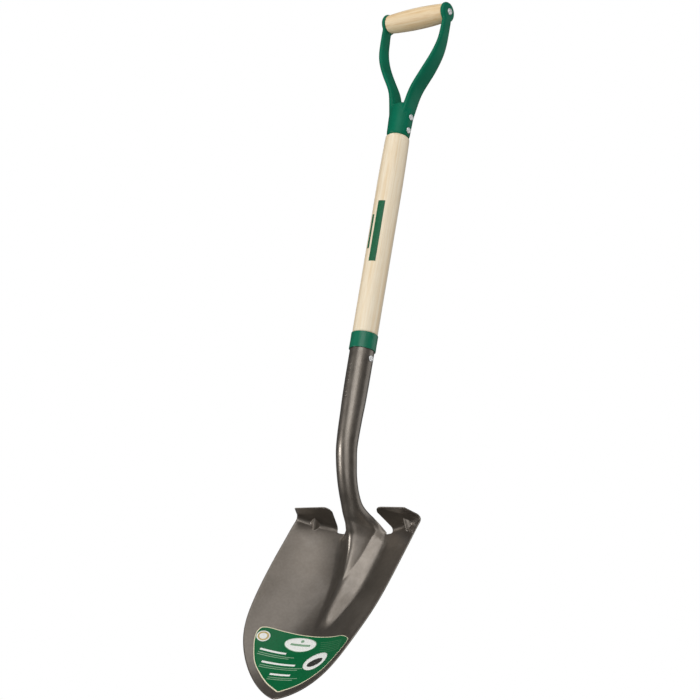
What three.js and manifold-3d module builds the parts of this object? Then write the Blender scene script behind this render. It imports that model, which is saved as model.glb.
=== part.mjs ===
// A round point shovel with a steel D handle, as separate pieces at real size.
// Millimetres, +Z up. The shaft's axis is the Z axis, the digging face looks toward -Y,
// and the origin is on the underside of the wooden hand grip, at the middle of its length.
import * as THREE from 'three';
import Module from 'manifold-3d';
import { mergeVertices } from 'three/addons/utils/BufferGeometryUtils.js';

const wasm = await Module();
wasm.setup();

// ---- driving dimensions -------------------------------------------------------------

const GAP = 0.3; // air kept between neighbouring pieces
const TURNED_SIDES = 40; // facets round a turned piece
const RIVET_SIDES = 20;
const RIVET_HOLE_LENGTH = 80; // passes right through the shaft and the sockets
const ROD_HOLE_LENGTH = 150; // passes right through the grip and both bosses

// hand grip, turned about the X axis
const GRIP_LENGTH = 105;
const GRIP_END_RADIUS = 14.2;
const GRIP_MID_RADIUS = 16.7;
const GRIP_AXIS_Z = GRIP_MID_RADIUS;
const GRIP_ROD_RADIUS = 3;

// heights of the main joints between pieces
const YOKE_RIM_Z = -186.6;
const COLLAR_TOP_Z = -500.5;
const COLLAR_HEIGHT = 25.5;

// wooden shaft
const SHAFT_RADIUS = 19.2;
const SHAFT_TOP_RADIUS = 18.1; // it tapers a little to meet the yoke
const SHAFT_TAPER_Z = -262;
const SHAFT_BOTTOM_RADIUS = 18.6;
const YOKE_TENON_RADIUS = 15.2;
const YOKE_TENON_LENGTH = 48;
const SOCKET_TENON_LENGTH = 118;

// steel yoke
const YOKE_SOCKET_RADIUS = 17.5; // at its rim
const BOSS_RADIUS = 16;
const BOSS_INNER_X = GRIP_LENGTH / 2 + GAP;
const BOSS_OUTER_X = 59.5;
const CUP_DEPTH = 3.6; // the grip's tongues sit this deep in the bosses
const CUP_RADIUS = 11.8;

// blade, one stamped sheet with the neck and socket
const SHEET = 2;
const BLADE_TILT = THREE.MathUtils.degToRad(27);
const BLADE_TOP = 211; // along the blade's own axis from the collar's top
const BLADE_TIP = 508.5;
const BLADE_HALF_WIDTH = 111;
const FROG_END = 0.58; // fraction of the blade's length that the raised frog takes
const FROG_HALF_WIDTH = 34.8;
const NOTCH_OUTER_X = 51.5;
const STEP_BEND_RADIUS = 4;
const SOCKET_SEAM = 0.04;

const PAINT = { color: 0x0b6b4f, roughness: 0.32, metalness: 0.0 };
const WOOD = { color: 0xecd9b0, roughness: 0.55, metalness: 0.0 };
const STEEL = { color: 0x6e655c, roughness: 0.42, metalness: 0.55 };
const ZINC = { color: 0xc9ccce, roughness: 0.3, metalness: 0.9 };
const STICKER = { color: 0x0a6a3a, roughness: 0.3, metalness: 0.0 };

// ---- small tools --------------------------------------------------------------------

function clamp01(v) {
  return Math.min(1, Math.max(0, v));
}

function smooth(edge0, edge1, v) {
  const t = clamp01((v - edge0) / (edge1 - edge0));
  return t * t * (3 - 2 * t);
}

// a monotone curve through a few points, returned as a function of x
function curveThrough(points) {
  const n = points.length;
  const slope = [];
  for (let i = 0; i < n - 1; i++) {
    slope.push((points[i + 1][1] - points[i][1]) / (points[i + 1][0] - points[i][0]));
  }
  const tangent = [slope[0]];
  for (let i = 1; i < n - 1; i++) {
    const turn = slope[i - 1] * slope[i];
    tangent.push(turn <= 0 ? 0 : (2 * turn) / (slope[i - 1] + slope[i]));
  }
  tangent.push(slope[n - 2]);
  return (x) => {
    let i = 0;
    while (i < n - 2 && x > points[i + 1][0]) i++;
    const span = points[i + 1][0] - points[i][0];
    const t = clamp01((x - points[i][0]) / span);
    const rise = t * t * (3 - 2 * t);
    const start = t * (1 - t) * (1 - t) * span * tangent[i];
    const end = t * t * (t - 1) * span * tangent[i + 1];
    return points[i][1] * (1 - rise) + points[i + 1][1] * rise + start + end;
  };
}

function solid(geometry) {
  const bare = geometry.clone();
  bare.deleteAttribute('normal');
  bare.deleteAttribute('uv');
  const merged = mergeVertices(bare, 1e-4);
  return new wasm.Manifold(new wasm.Mesh({
    numProp: 3,
    vertProperties: new Float32Array(merged.attributes.position.array),
    triVerts: new Uint32Array(merged.index.array),
  }));
}

function geometryOf(manifold) {
  const mesh = manifold.getMesh();
  const geometry = new THREE.BufferGeometry();
  geometry.setAttribute('position', new THREE.BufferAttribute(mesh.vertProperties, 3));
  geometry.setIndex(new THREE.BufferAttribute(mesh.triVerts, 1));
  geometry.computeVertexNormals();
  return geometry;
}

// a turned solid about Z from [radius, z] points, bottom to top
function turned(profile, sides) {
  const points = profile.map(([r, z]) => new THREE.Vector2(r, z));
  return new THREE.LatheGeometry(points, sides).rotateX(Math.PI / 2);
}

// the same about X, first point at the lowest x
function turnedX(profile, sides) {
  return turned(profile, sides).rotateY(Math.PI / 2);
}

// ---- the sheet: a middle surface made of quads, thickened both ways ------------------

class Sheet {
  constructor() {
    this.points = [];
    this.quads = [];
  }

  add(point) {
    this.points.push(point);
    return this.points.length - 1;
  }

  // joins two rows of point numbers with quads, skipping columns that share both points
  strip(lower, upper) {
    for (let j = 0; j < lower.length - 1; j++) {
      this.quads.push([lower[j], lower[j + 1], upper[j + 1], upper[j]]);
    }
  }

  normals() {
    const normals = this.points.map(() => new THREE.Vector3());
    for (const quad of this.quads) {
      const [a, b, c, d] = quad.map((k) => this.points[k]);
      const across = new THREE.Vector3().subVectors(c, a);
      const normal = across.cross(new THREE.Vector3().subVectors(d, b));
      quad.forEach((k) => normals[k].add(normal));
    }
    return normals.map((n) => n.normalize());
  }

  thicken(thickness) {
    const count = this.points.length;
    const normals = this.normals();
    const layers = [thickness / 2, -thickness / 2].flatMap((offset) =>
      this.points.map((p, k) => p.clone().addScaledVector(normals[k], offset)));
    const index = [];
    const edges = new Map();
    for (const [a, b, c, d] of this.quads) {
      index.push(a, b, c, a, c, d);
      index.push(count + a, count + c, count + b, count + a, count + d, count + c);
      for (const [from, to] of [[a, b], [b, c], [c, d], [d, a]]) {
        const twin = `${to}_${from}`;
        if (edges.has(twin)) edges.delete(twin);
        else edges.set(`${from}_${to}`, [from, to]);
      }
    }
    for (const [from, to] of edges.values()) {
      index.push(from, count + from, count + to, from, count + to, to);
    }
    const geometry = new THREE.BufferGeometry().setFromPoints(layers);
    geometry.setIndex(index);
    return geometry;
  }
}

// ---- blade --------------------------------------------------------------------------

// blade coordinates: x across, along toward the tip, depth backward from the digging side
function bladePoint(x, along, depth) {
  const y = -along * Math.sin(BLADE_TILT) + depth * Math.cos(BLADE_TILT);
  const z = -along * Math.cos(BLADE_TILT) - depth * Math.sin(BLADE_TILT);
  return new THREE.Vector3(x, y, z + COLLAR_TOP_Z);
}

// functions of t, the fraction of the blade's length from its top edge to its tip
const centreDepth = curveThrough(
  [[0, 196], [0.12, 207], [0.3, 214.5], [0.5, 208.5], [0.75, 198.5], [1, 188.7]]);
const dishCurve = curveThrough(
  [[0, 0.0025], [0.1, 0.0033], [0.3, 0.004], [0.5, 0.0036], [0.7, 0.0034], [1, 0.002]]);
const frogHeight = curveThrough(
  [[0, 47.7], [0.05, 41], [0.1, 35.5], [0.15, 28.5], [0.25, 20.5], [0.4, 13], [0.5, 7],
    [FROG_END, 0], [1, 0]]);
const frogLean = curveThrough([[0, 19], [0.05, 10], [0.1, 0], [1, 0]]);

function halfWidth(t) {
  return BLADE_HALF_WIDTH * (1 - t ** 4.5) ** 0.75;
}

function frogHalfWidth(t) {
  const frog = FROG_HALF_WIDTH * Math.max(0, 1 - t / FROG_END) ** 0.7;
  return Math.hypot(frog, 0.09 * halfWidth(t));
}

const FROG_REACH = 1.32; // how far past its nominal width the frog runs out into the blade
const FACET_END = 0.29; // where the two flat facets beside the crest meet
const shoulderHeight = curveThrough(
  [[0, 0.27], [0.08, 0.4], [0.16, 0.6], [0.24, 0.86], [0.31, 1], [1, 1]]);

const CREST_ROUND = 0.45; // the share of the crest's half width that is round

// a round top that runs straight into flat flanks, from 1 at 0 to 0 at 1
function crestShape(z) {
  const slope = 1 / (2 * CREST_ROUND - CREST_ROUND * CREST_ROUND);
  if (z < CREST_ROUND) return 1 - slope * z * z;
  return Math.max(0, 2 * slope * CREST_ROUND * (1 - z));
}

// height of the frog's section, 0 to 1, at q across it: a crest between two flat facets
// on a broad ridge, which is all that is left once the facets have met
function frogSection(q, t) {
  const off = Math.abs(q);
  const reach = THREE.MathUtils.lerp(1.06, FROG_REACH, smooth(0, 0.06, t));
  const flat = THREE.MathUtils.lerp(0.5, 0, smooth(0, FACET_END, t));
  const broad = 1 - smooth(flat, reach, off);
  const crestWidth = 0.06 + 0.6 * Math.max(0, 1 - (t / FACET_END) ** 1.7);
  const shoulder = shoulderHeight(t);
  return shoulder * broad + (1 - shoulder) * crestShape(off / crestWidth);
}

function dishDepth(x, t) {
  return centreDepth(t) - dishCurve(t) * x * x;
}

function bladeSurface(x, t) {
  const along = BLADE_TOP + t * (BLADE_TIP - BLADE_TOP);
  const point = bladePoint(x, along, dishDepth(x, t));
  const lean = BLADE_TILT - THREE.MathUtils.degToRad(frogLean(t));
  const rise = frogHeight(t) * frogSection(x / frogHalfWidth(t), t);
  point.y -= rise * Math.cos(lean);
  point.z += rise * Math.sin(lean);
  return point;
}

// the neck's sections from the blade's top up to the socket's top: the front ridge and
// the back of each section as [y, z] below the collar's top, the tube's radius there,
// and how far the section has opened from a closed tube to the frog's shape
const NECK_SECTIONS = [
  { ridge: [31.6, -270], back: [78.8, -277], radius: 13.3, open: 1 },
  { ridge: [29.5, -267], back: [68, -264], radius: 13.3, open: 0.72 },
  { ridge: [27.2, -263.5], back: [57, -253], radius: 13.3, open: 0.4 },
  { ridge: [24.5, -259], back: [48, -245], radius: 13.3, open: 0.14 },
  { ridge: [19.5, -250], back: [42.3, -236.2], radius: 13.2, open: 0.03 },
  { ridge: [12.5, -239.4], back: [35.5, -226.6], radius: 13.1, open: 0 },
  { ridge: [1.3, -217.6], back: [25.9, -207.6], radius: 13.3, open: 0 },
  { ridge: [-7.1, -194.6], back: [19.9, -187.4], radius: 14, open: 0 },
  { ridge: [-13.1, -171.2], back: [15.3, -166.8], radius: 14.3, open: 0 },
  { ridge: [-15, -146], back: [15, -146], radius: 15, open: 0 },
  { ridge: [-15.6, -122], back: [15.6, -122], radius: 15.6, open: 0 },
  { ridge: [-16.5, -98], back: [16.5, -98], radius: 16.5, open: 0 },
  { ridge: [-16.9, -60], back: [16.9, -60], radius: 16.9, open: 0 },
  { ridge: [-17, -25], back: [17, -25], radius: 17, open: 0 },
  { ridge: [-17, -2.5], back: [17, -2.5], radius: 17, open: 0 },
];

function neckPoint(section, q) {
  const angle = Math.PI * q * (1 - SOCKET_SEAM * (1 - section.open));
  const tube = section.radius * Math.sin(angle);
  const x = THREE.MathUtils.lerp(tube, frogHalfWidth(0) * q, section.open);
  const closed = (1 + Math.cos(angle)) / 2;
  const h = THREE.MathUtils.lerp(closed, frogSection(q, 0), section.open);
  const y = THREE.MathUtils.lerp(section.back[0], section.ridge[0], h);
  const z = THREE.MathUtils.lerp(section.back[1], section.ridge[1], h);
  return new THREE.Vector3(x, y, z + COLLAR_TOP_Z);
}

const FROG_COLUMNS = 24;
const WING_STOPS = [0.08, 0.2, 0.36, 0.52, 0.66, 0.78, 0.9, 1];
const STEP_FIRST = 1; // the wing column at the notch's outer corner
const BLADE_ROWS = [0, 0.035, 0.08, 0.13, 0.19, 0.26, 0.34, 0.42, 0.5, 0.58, 0.66,
  0.74, 0.81, 0.87, 0.92, 0.96, 0.985, 0.998];
const BEND_STEPS = 3;
const STEP_STOPS = [0.3, 0.65, 1];

// the x positions of the sheet's columns at one row
function bladeColumns(t) {
  const inner = frogHalfWidth(t);
  const outer = halfWidth(t);
  const frog = [];
  for (let j = 0; j <= FROG_COLUMNS; j++) frog.push(inner * ((2 * j) / FROG_COLUMNS - 1));
  const wing = WING_STOPS.map((s) => inner + (outer - inner) * s);
  const mirrored = wing.map((x) => -x).reverse();
  return [...mirrored, ...frog, ...wing];
}

const STEP_INNER_FRONT = [41.5, 145]; // the step's front corners as [x, depth]
const STEP_OUTER_FRONT = [97.5, 139];
const STEP_CORNER = 8;
const STEP_DROOP = 5.5; // the outer front corner is bent down a little

// the foot step: the blade's top edge turned forward, square to the blade
function stepPoint(x, bend, forward) {
  const fold = dishDepth(x, 0);
  const side = Math.sign(x);
  const s = (Math.abs(x) - NOTCH_OUTER_X) / (halfWidth(0) - NOTCH_OUTER_X);
  const frontX = THREE.MathUtils.lerp(STEP_INNER_FRONT[0], STEP_OUTER_FRONT[0], s);
  const lift = THREE.MathUtils.lerp(STEP_INNER_FRONT[1], STEP_OUTER_FRONT[1], s);
  const inset = clamp01(1 - (Math.abs(frontX) - STEP_INNER_FRONT[0]) / STEP_CORNER);
  const front = lift + STEP_CORNER * (1 - Math.sqrt(1 - inset * inset));
  const angle = bend * (Math.PI / 2);
  const droop = STEP_DROOP * Math.max(0, (forward + s - 1.2) / 0.8);
  const along = BLADE_TOP - STEP_BEND_RADIUS * Math.sin(angle) + droop;
  const bent = fold - STEP_BEND_RADIUS * (1 - Math.cos(angle));
  const depth = THREE.MathUtils.lerp(bent, front, forward);
  const px = THREE.MathUtils.lerp(Math.abs(x), frontX, forward);
  return bladePoint(side * px, along, depth);
}

function bladeGeometry() {
  const sheet = new Sheet();
  const rows = BLADE_ROWS.map((t) =>
    bladeColumns(t).map((x) => sheet.add(bladeSurface(x, t))));
  rows.slice(1).forEach((row, i) => sheet.strip(row, rows[i]));

  const top = rows[0];
  const wing = WING_STOPS.length;
  let lower = top.slice(wing, wing + FROG_COLUMNS + 1);
  for (const section of NECK_SECTIONS.slice(1)) {
    const upper = lower.map((_, j) => sheet.add(neckPoint(section, (2 * j) / FROG_COLUMNS - 1)));
    sheet.strip(lower, upper);
    lower = upper;
  }

  const stepRows = [];
  for (let k = 1; k <= BEND_STEPS; k++) stepRows.push([k / BEND_STEPS, 0]);
  STEP_STOPS.forEach((forward) => stepRows.push([1, forward]));
  const columns = bladeColumns(0);
  const leftEnd = wing - STEP_FIRST;
  const spans = [[0, leftEnd], [wing + FROG_COLUMNS + 1 + STEP_FIRST, top.length]];
  for (const [from, to] of spans) {
    let edge = top.slice(from, to);
    for (const [bend, forward] of stepRows) {
      const next = columns.slice(from, to).map((x) => sheet.add(stepPoint(x, bend, forward)));
      sheet.strip(edge, next);
      edge = next;
    }
  }
  const body = solid(sheet.thicken(SHEET)).subtract(rivetHole(RIVETS[0]));
  return geometryOf(body);
}

// ---- label on the blade --------------------------------------------------------------

const LABEL_THICKNESS = 0.4;
const LABEL_CLEARANCE = 0.9; // the sheet and the label are faceted differently
const LABEL_LIFT = SHEET / 2 + LABEL_CLEARANCE + LABEL_THICKNESS / 2;
const LABEL_TOP = 0.617;
const LABEL_POINT = 0.962;
const labelHalfWidth = curveThrough([[LABEL_TOP, 75], [0.632, 80], [0.66, 81.5], [0.7, 79.5],
  [0.75, 73.5], [0.82, 62], [0.873, 46], [0.92, 27], [LABEL_POINT, 2]]);

function labelGeometry() {
  const sheet = new Sheet();
  const columns = 12;
  const rowCount = 9;
  let lower = null;
  for (let i = 0; i <= rowCount; i++) {
    const t = THREE.MathUtils.lerp(LABEL_POINT, LABEL_TOP, i / rowCount);
    const row = [];
    for (let j = 0; j <= columns; j++) {
      const x = labelHalfWidth(t) * ((2 * j) / columns - 1);
      const along = BLADE_TOP + t * (BLADE_TIP - BLADE_TOP);
      row.push(sheet.add(bladePoint(x, along, dishDepth(x, t) - LABEL_LIFT)));
    }
    if (lower) sheet.strip(lower, row);
    lower = row;
  }
  return sheet.thicken(LABEL_THICKNESS);
}

// ---- wooden shaft ---------------------------------------------------------------------

const socketRadius = curveThrough(
  NECK_SECTIONS.filter((s) => s.open === 0).map((s) => [-s.back[1], s.radius]).reverse());

function shaftGeometry() {
  const profile = [[0, COLLAR_TOP_Z - SOCKET_TENON_LENGTH]];
  for (let k = 4; k >= 0; k--) {
    const below = 4 + ((SOCKET_TENON_LENGTH - 4) * k) / 4;
    const flats = Math.cos(Math.PI / FROG_COLUMNS); // the socket is faceted
    profile.push([(socketRadius(below) - SHEET / 2) * flats - GAP, COLLAR_TOP_Z - below]);
  }
  profile.push([profile.at(-1)[0], COLLAR_TOP_Z - 1.6], [SHAFT_BOTTOM_RADIUS - 1, COLLAR_TOP_Z - 0.6]);
  profile.push([SHAFT_BOTTOM_RADIUS, COLLAR_TOP_Z + 1]);
  profile.push([SHAFT_RADIUS, SHAFT_TAPER_Z], [SHAFT_TOP_RADIUS, YOKE_RIM_Z - 1.2]);
  profile.push([SHAFT_TOP_RADIUS - 0.8, YOKE_RIM_Z - GAP]);
  profile.push([YOKE_TENON_RADIUS, YOKE_RIM_Z - GAP]);
  const top = YOKE_RIM_Z + YOKE_TENON_LENGTH;
  profile.push([YOKE_TENON_RADIUS, top - 2], [YOKE_TENON_RADIUS - 2, top], [0, top]);
  let body = solid(turned(profile, TURNED_SIDES));
  for (const rivet of RIVETS) body = body.subtract(rivetHole(rivet));
  return geometryOf(body);
}

// ---- rivets that cross the shaft, along X ---------------------------------------------

const RIVETS = [
  { name: 'socket_rivet', z: COLLAR_TOP_Z - 38.4, radius: 2.6, face: 17.95 },
  { name: 'yoke_rivet_lower', z: YOKE_RIM_Z + 10.2, radius: 2.4, face: YOKE_SOCKET_RADIUS + 0.45 },
  { name: 'yoke_rivet_upper', z: YOKE_RIM_Z + 31.8, radius: 2.4, face: YOKE_SOCKET_RADIUS + 1.05 },
];
const RIVET_HEAD_RADIUS = 4.8;
const RIVET_HEAD_HEIGHT = 2;

function rivetHole({ z, radius }) {
  const hole = new THREE.CylinderGeometry(radius + GAP, radius + GAP, RIVET_HOLE_LENGTH, RIVET_SIDES);
  return solid(hole.rotateZ(Math.PI / 2).translate(0, 0, z));
}

function rivetGeometry({ radius, face }) {
  const inner = face + GAP;
  const outer = inner + RIVET_HEAD_HEIGHT;
  const head = [[radius, inner], [RIVET_HEAD_RADIUS, inner], [RIVET_HEAD_RADIUS, inner + 0.5],
    [RIVET_HEAD_RADIUS * 0.72, outer - 0.3], [0, outer]];
  const mirrored = head.map(([r, x]) => [r, -x]).reverse();
  return turnedX([...mirrored, ...head], RIVET_SIDES);
}

// ---- collar ---------------------------------------------------------------------------

function collarGeometry() {
  const bore = 18.4;
  const outer = 19.7;
  const bottom = COLLAR_TOP_Z - COLLAR_HEIGHT;
  return turned([[bore, bottom], [outer - 0.5, bottom], [outer, bottom + 0.8],
    [outer, COLLAR_TOP_Z - 3.5], [outer - 0.5, COLLAR_TOP_Z - 1.6], [bore + 0.3, COLLAR_TOP_Z - 1.1],
    [bore, COLLAR_TOP_Z - 1.6], [bore, bottom]], TURNED_SIDES);
}

// ---- yoke -----------------------------------------------------------------------------

// the arm's outer surface as [x, z above the socket's rim], from the socket to the boss
const ARM_PATH = [[13, 20], [17, 44], [20.4, 62], [23.6, 75], [30, 87], [42.5, 109], [53.6, 133],
  [58.6, 154], [59.5, 172], [59.5, 203]];
const ARM_STEPS = 18;

function armCurve() {
  const points = ARM_PATH.map(([x, z]) => new THREE.Vector3(x, 0, z + YOKE_RIM_Z));
  return new THREE.CatmullRomCurve3(points, false, 'centripetal');
}

// a power that keeps the sign, for sections between a circle and a rectangle
function boxy(v) {
  return Math.sign(v) * Math.abs(v) ** 0.7;
}

// the arm is a flattened tube, hammered shut: thickness and half width change along it
const armThickness = curveThrough(
  [[0, 12], [0.2, 9.4], [0.4, 8.2], [0.65, 7.6], [0.85, 6.8], [0.9, 6.2], [1, 6]]);
const armHalfWidth = curveThrough(
  [[0, 14.5], [0.25, 14.5], [0.45, 14.8], [0.62, 13.2], [0.8, 10.4], [1, 9.8]]);
const ARM_SIDES = 14;

function armGeometry() {
  const curve = armCurve();
  const vertices = [];
  const index = [];
  for (let i = 0; i <= ARM_STEPS; i++) {
    const u = i / ARM_STEPS;
    const point = curve.getPointAt(u);
    const tangent = curve.getTangentAt(u);
    const inward = new THREE.Vector3(-tangent.z, 0, tangent.x);
    for (let j = 0; j < ARM_SIDES; j++) {
      const angle = (2 * Math.PI * j) / ARM_SIDES;
      const depth = (armThickness(u) * (1 - boxy(Math.cos(angle)))) / 2;
      const p = point.clone().addScaledVector(inward, depth);
      vertices.push(p.x, -armHalfWidth(u) * boxy(Math.sin(angle)), p.z);
    }
  }
  for (let i = 0; i < ARM_STEPS; i++) {
    for (let j = 0; j < ARM_SIDES; j++) {
      const a = i * ARM_SIDES + j;
      const b = i * ARM_SIDES + ((j + 1) % ARM_SIDES);
      index.push(a, a + ARM_SIDES, b, b, a + ARM_SIDES, b + ARM_SIDES);
    }
  }
  const lastRing = ARM_STEPS * ARM_SIDES;
  for (let j = 1; j < ARM_SIDES - 1; j++) {
    index.push(0, j, j + 1);
    index.push(lastRing, lastRing + j + 1, lastRing + j);
  }
  const geometry = new THREE.BufferGeometry();
  geometry.setAttribute('position', new THREE.Float32BufferAttribute(vertices, 3));
  geometry.setIndex(index);
  return geometry;
}

const BOSS_CORNER = 4;
const BOSS_CORNER_STEPS = 4;

function bossGeometry() {
  const profile = [[0, BOSS_INNER_X], [BOSS_RADIUS - 0.5, BOSS_INNER_X], [BOSS_RADIUS, BOSS_INNER_X + 0.5]];
  for (let k = 0; k <= BOSS_CORNER_STEPS; k++) {
    const angle = (k / BOSS_CORNER_STEPS) * (Math.PI / 2);
    const inward = BOSS_CORNER * (1 - Math.cos(angle));
    const sunk = BOSS_CORNER * (1 - Math.sin(angle));
    profile.push([BOSS_RADIUS - inward, BOSS_OUTER_X - sunk]);
  }
  profile.push([0, BOSS_OUTER_X]);
  return turnedX(profile, TURNED_SIDES).translate(0, 0, GRIP_AXIS_Z);
}

function yokeGeometry() {
  const rim = YOKE_RIM_Z;
  const socket = solid(turned([[0, rim], [YOKE_SOCKET_RADIUS, rim], [YOKE_SOCKET_RADIUS + 0.4, rim + 14],
    [YOKE_SOCKET_RADIUS + 1, rim + 32], [YOKE_SOCKET_RADIUS + 0.8, rim + 46], [15.5, rim + 53],
    [8, rim + 57], [0, rim + 58]], TURNED_SIDES));
  const cup = solid(turnedX([[0, BOSS_INNER_X - 9], [CUP_RADIUS, BOSS_INNER_X - 9],
    [CUP_RADIUS, BOSS_INNER_X + CUP_DEPTH], [0, BOSS_INNER_X + CUP_DEPTH]], TURNED_SIDES)
    .translate(0, 0, GRIP_AXIS_Z));
  const half = solid(armGeometry()).add(solid(bossGeometry())).subtract(cup);
  let body = socket.add(half).add(half.mirror([1, 0, 0]));
  const boreTop = rim + YOKE_TENON_LENGTH + 1;
  const boreRadius = YOKE_TENON_RADIUS + GAP;
  const bore = [[0, rim - 1], [boreRadius, rim - 1], [boreRadius, boreTop], [0, boreTop]];
  body = body.subtract(solid(turned(bore, TURNED_SIDES)));
  for (const rivet of RIVETS) body = body.subtract(rivetHole(rivet));
  const radius = GRIP_ROD_RADIUS + GAP;
  const rod = new THREE.CylinderGeometry(radius, radius, ROD_HOLE_LENGTH, RIVET_SIDES);
  body = body.subtract(solid(rod.rotateZ(Math.PI / 2).translate(0, 0, GRIP_AXIS_Z)));
  return geometryOf(body);
}

// ---- hand grip and its rod ------------------------------------------------------------

function gripGeometry() {
  const half = GRIP_LENGTH / 2;
  const bore = GRIP_ROD_RADIUS + GAP;
  const tongue = CUP_RADIUS - GAP;
  const tip = half + CUP_DEPTH;
  const full = half - 0.8;
  const right = [[GRIP_END_RADIUS - 0.8, half], [tongue, half], [tongue, tip], [bore, tip]];
  const left = right.map(([r, x]) => [r, -x]).reverse();
  const barrel = [];
  for (let k = 0; k <= 10; k++) {
    const s = k / 5 - 1;
    barrel.push([THREE.MathUtils.lerp(GRIP_MID_RADIUS, GRIP_END_RADIUS, s * s), s * full]);
  }
  return turnedX([...left, ...barrel, ...right, left[0]], TURNED_SIDES);
}

function gripRodGeometry() {
  const inner = BOSS_OUTER_X + GAP;
  const head = [[GRIP_ROD_RADIUS, inner], [5.3, inner], [5.3, inner + 0.7],
    [3.9, inner + 2.1], [0, inner + 2.6]];
  const mirrored = head.map(([r, x]) => [r, -x]).reverse();
  return turnedX([...mirrored, ...head], RIVET_SIDES);
}

// ---- assembly -------------------------------------------------------------------------

const shovel = new THREE.Group();

function place(name, geometry, look, parent = shovel) {
  const mesh = new THREE.Mesh(geometry, new THREE.MeshStandardMaterial(look));
  mesh.name = name;
  parent.add(mesh);
  return mesh;
}

place('blade', bladeGeometry(), STEEL);
place('blade_label', labelGeometry(), STICKER);
place('collar', collarGeometry(), PAINT);
place('shaft', shaftGeometry(), WOOD);
place('yoke', yokeGeometry(), PAINT);
for (const rivet of RIVETS) {
  place(rivet.name, rivetGeometry(rivet), ZINC).position.z = rivet.z;
}

const handle = new THREE.Group();
handle.position.z = GRIP_AXIS_Z;
shovel.add(handle);
place('grip', gripGeometry(), WOOD, handle);
place('grip_rod', gripRodGeometry(), ZINC, handle);

export default shovel;
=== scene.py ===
"""The looks of a round point shovel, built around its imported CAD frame. Metres, +Z up.

The shaft's axis is the Z axis and the digging face looks toward -Y. Shapes are worked out
in millimetres and turned to metres when a mesh is made.
"""

import math

import bpy
import numpy as np
from mathutils import Matrix, Vector


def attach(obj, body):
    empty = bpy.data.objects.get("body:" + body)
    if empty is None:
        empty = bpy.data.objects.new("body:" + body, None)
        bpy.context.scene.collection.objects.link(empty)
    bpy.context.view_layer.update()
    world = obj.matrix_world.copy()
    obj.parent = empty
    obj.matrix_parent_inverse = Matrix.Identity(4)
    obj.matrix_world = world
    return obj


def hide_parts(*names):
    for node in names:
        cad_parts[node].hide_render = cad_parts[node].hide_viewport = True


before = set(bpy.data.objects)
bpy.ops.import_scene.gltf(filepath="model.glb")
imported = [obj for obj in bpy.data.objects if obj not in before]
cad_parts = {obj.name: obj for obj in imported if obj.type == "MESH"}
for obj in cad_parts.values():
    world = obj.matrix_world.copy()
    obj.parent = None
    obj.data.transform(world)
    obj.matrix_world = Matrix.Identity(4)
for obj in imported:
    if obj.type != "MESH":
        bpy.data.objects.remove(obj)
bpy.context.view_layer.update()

MM = 0.001
SMOOTH_ANGLE = math.radians(50)

# heights and sizes shared with the CAD frame, in millimetres
GRIP_AXIS_Z = 16.7
YOKE_RIM_Z = -186.6
COLLAR_TOP_Z = -500.5
SHEET = 2.0
BLADE_TILT = math.radians(27)
BLADE_TOP = 211.0
BLADE_TIP = 508.5
BLADE_LENGTH = BLADE_TIP - BLADE_TOP
BLADE_HALF_WIDTH = 111.0
FROG_END = 0.58
FROG_HALF_WIDTH = 34.8
SOCKET_SEAM = 0.04  # the share of the socket's round that is open at its back
SHAFT_BOTTOM_RADIUS = 18.6
SHAFT_RADIUS = 19.2
SHAFT_TAPER_Z = -262  # the shaft is widest here, and narrows from here to the yoke
ROD_HOLE_RADIUS = 3.3

# how many sides the turned pieces have
WIDE_SIDES = 96
YOKE_SIDES = 72
RIVET_SIDES = 40


# ---- curves ---------------------------------------------------------------------------


def curve_through(points):
    """A monotone curve through a few points, as a function of x."""
    xs = [p[0] for p in points]
    ys = [p[1] for p in points]
    n = len(points)
    slope = [(ys[i + 1] - ys[i]) / (xs[i + 1] - xs[i]) for i in range(n - 1)]
    tangent = [slope[0]]
    for a, b in zip(slope, slope[1:]):
        tangent.append(0 if a * b <= 0 else 2 * a * b / (a + b))
    tangent.append(slope[-1])

    def curve(x):
        i = 0
        while i < n - 2 and x > xs[i + 1]:
            i += 1
        span = xs[i + 1] - xs[i]
        t = min(1, max(0, (x - xs[i]) / span))
        rise = t * t * (3 - 2 * t)
        start = t * (1 - t) ** 2 * span * tangent[i]
        end = t * t * (t - 1) * span * tangent[i + 1]
        return ys[i] * (1 - rise) + ys[i + 1] * rise + start + end

    return curve


def softened(curve, step=0.022):
    """The same curve with its changes of slope eased, over x from 0 to 1."""
    weights = [1, 4, 6, 4, 1]

    def at(x):
        if x < 0:
            return 2 * curve(0) - curve(-x)
        if x > 1:
            return 2 * curve(1) - curve(2 - x)
        return curve(x)

    return lambda x: sum(w * at(x + (k - 2) * step) for k, w in enumerate(weights)) / 16


def smooth(low, high, v):
    t = min(1, max(0, (v - low) / (high - low)))
    return t * t * (3 - 2 * t)


def lerp(a, b, t):
    return a + (b - a) * t


# ---- mesh tools -----------------------------------------------------------------------


def mesh_object(name, vertices, faces, material):
    mesh = bpy.data.meshes.new(name)
    mesh.from_pydata([Vector(v) * MM for v in vertices], [], faces)
    mesh.update()
    mesh.shade_smooth()
    mesh.set_sharp_from_angle(angle=SMOOTH_ANGLE)
    mesh.materials.append(material)
    made = bpy.data.objects.new(name, mesh)
    bpy.context.scene.collection.objects.link(made)
    return made


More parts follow.
